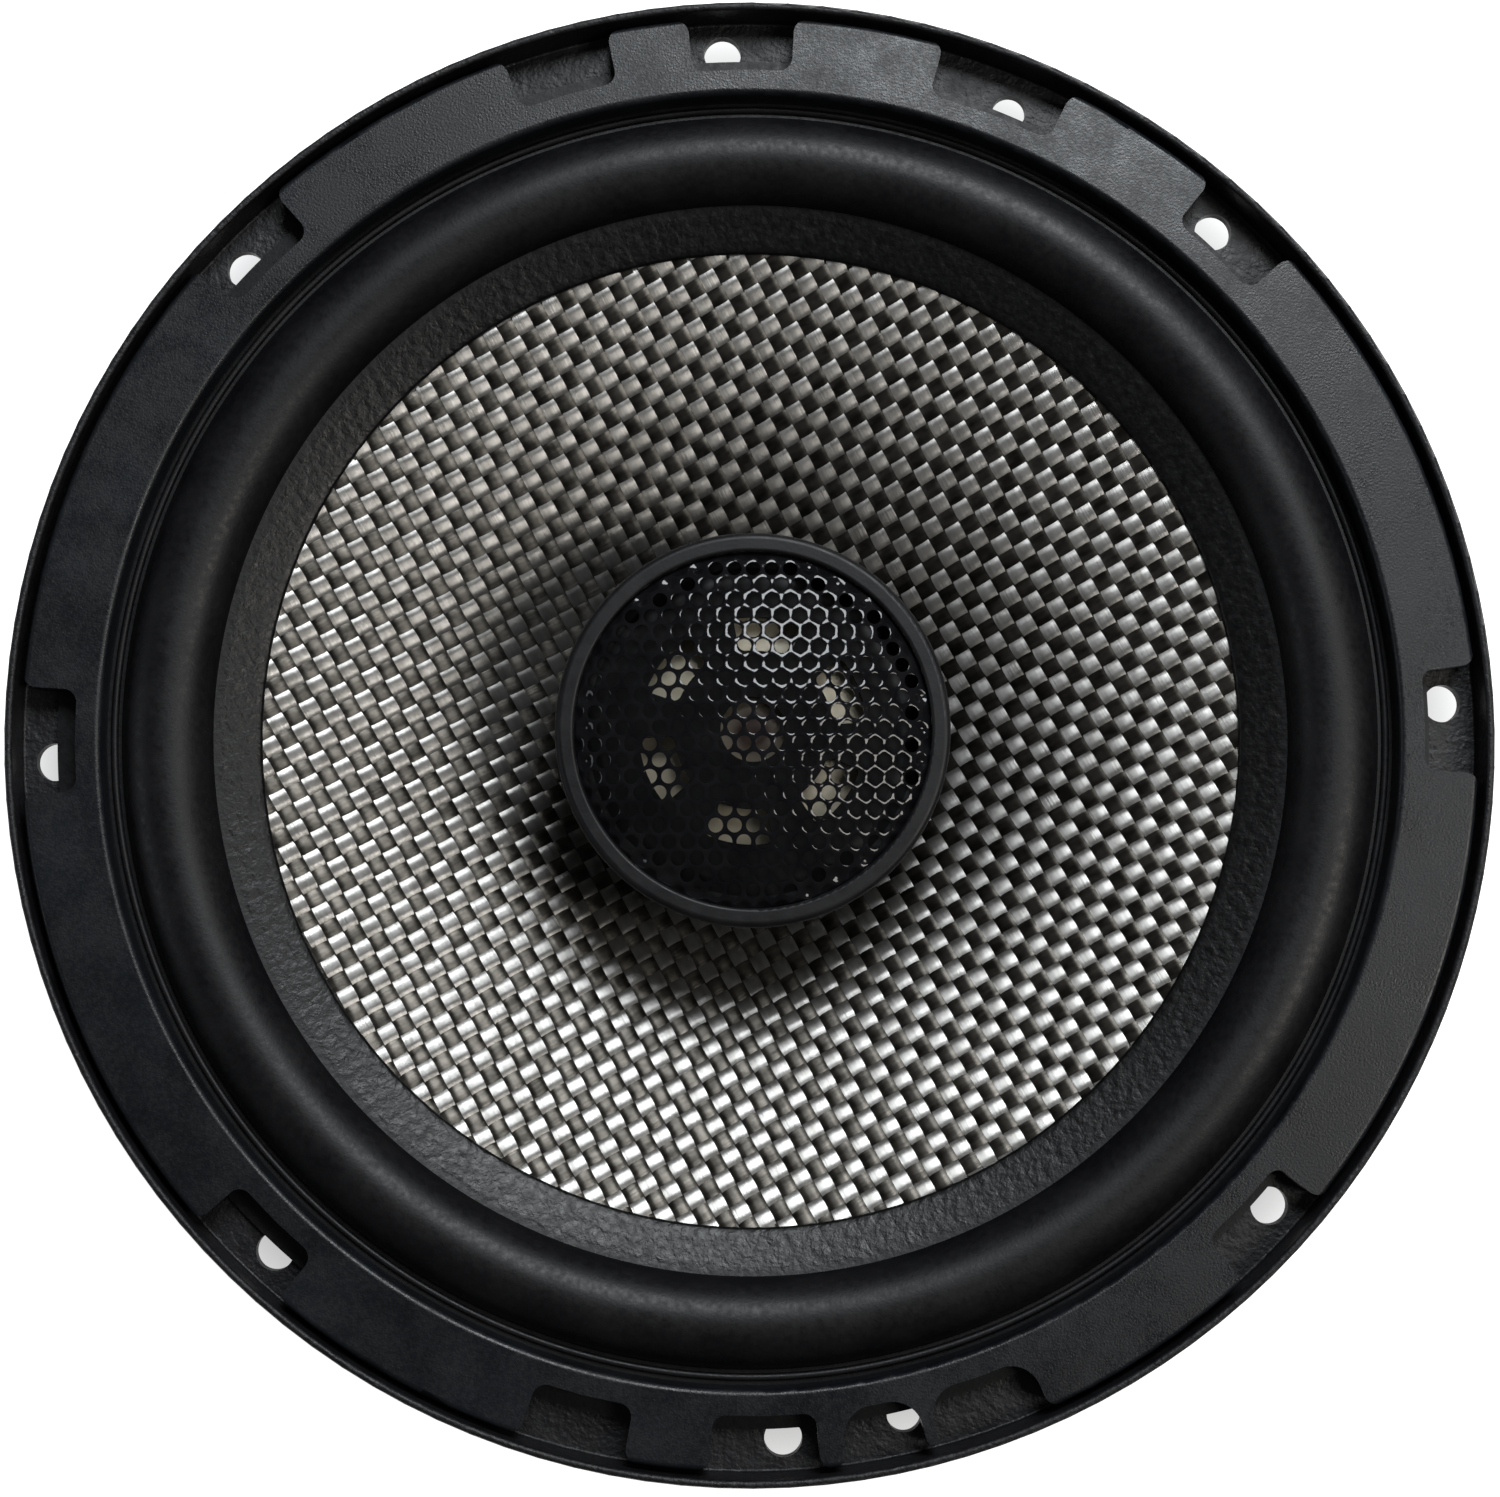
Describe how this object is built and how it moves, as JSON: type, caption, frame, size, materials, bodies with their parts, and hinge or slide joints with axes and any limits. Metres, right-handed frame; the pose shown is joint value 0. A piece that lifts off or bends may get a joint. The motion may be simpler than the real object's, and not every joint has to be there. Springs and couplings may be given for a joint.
{
  "type": "coaxial car speaker",
  "caption": "Round coaxial speaker: woven cone with rubber roll, pole-mounted dome tweeter under a perforated grille, and a pressed steel frame with screw holes.",
  "frame": {"origin": "where the speaker's axis meets the rear mounting face of the flange", "axes": "+Z along the axis towards the listener; -Y towards the terminals"},
  "size_m": [0.165, 0.165, 0.0714],
  "materials": {
    "powder_coat": "satin",
    "moulded_ring": "matte",
    "surround_rubber": "matte",
    "woven_silver": "satin",
    "black_cloth": "matte",
    "former_foil": "satin",
    "copper_wire": "gloss",
    "spider_cloth": "matte",
    "tinsel_braid": "satin",
    "joint_glue": "gloss",
    "terminal_laminate": "satin",
    "tinned_lug": "satin",
    "rivet_metal": "satin",
    "plated_iron": "satin",
    "ferrite": "matte",
    "nickel_plate": "gloss",
    "black_oxide": "satin",
    "post_paint": "satin",
    "tweeter_plastic": "satin",
    "grille_paint": "gloss",
    "dome_film": "satin",
    "dome_roll": "matte",
    "red_insulation": "satin",
    "black_insulation": "satin",
    "capacitor_sleeve": "gloss",
    "hot_glue": "gloss",
    "solder": "satin"
  },
  "bodies": {
    "frame": {"basket": "powder_coat", "gasket_ring": "moulded_ring", "surround": "surround_rubber", "spider": "spider_cloth", "tinsel_lead_positive": "tinsel_braid", "tinsel_lead_negative": "tinsel_braid", "terminal_board": "terminal_laminate", "terminal_lug_positive": "tinned_lug", "terminal_lug_negative": "tinned_lug", "terminal_rivets": "rivet_metal", "board_rivets": "rivet_metal", "basket_rivets": "rivet_metal", "top_plate": "plated_iron", "back_plate_pole": "plated_iron", "tweeter_yoke": "plated_iron", "tweeter_top_plate": "plated_iron", "ferrite_magnet": "ferrite", "tweeter_magnet": "nickel_plate", "post_nut": "black_oxide", "tweeter_mount_screws": "black_oxide", "tweeter_post": "post_paint", "tweeter_housing": "tweeter_plastic", "tweeter_carrier_ring": "tweeter_plastic", "tweeter_phase_guard": "tweeter_plastic", "tweeter_trim_ring": "tweeter_plastic", "tweeter_grille": "grille_paint", "tweeter_surround": "dome_roll", "tweeter_lead_positive": "red_insulation", "tweeter_lead_negative": "black_insulation", "crossover_capacitor": "capacitor_sleeve", "capacitor_adhesive": "hot_glue", "solder_joints": "solder"},
    "diaphragm": {"cone": "woven_silver", "dust_screen": "black_cloth", "voice_coil_former": "former_foil", "voice_coil_winding": "copper_wire", "lead_joints": "joint_glue", "coil_lead_positive": "copper_wire", "coil_lead_negative": "copper_wire"},
    "tweeter_diaphragm": {"tweeter_dome": "dome_film", "tweeter_former": "former_foil", "tweeter_winding": "copper_wire"}
  },
  "joints": [
    {"name": "cone_travel", "type": "slide", "parent": "frame", "child": "diaphragm", "axis": [0, 0, 1], "range_m": [-0.005, 0.005], "stiffness_N_per_m": 1500, "deforming": ["surround", "spider", "tinsel_lead_positive", "tinsel_lead_negative"]},
    {"name": "dome_travel", "type": "slide", "parent": "frame", "child": "tweeter_diaphragm", "axis": [0, 0, 1], "range_m": [-0.0005, 0.0005], "stiffness_N_per_m": 200, "deforming": ["tweeter_surround"]}
  ]
}
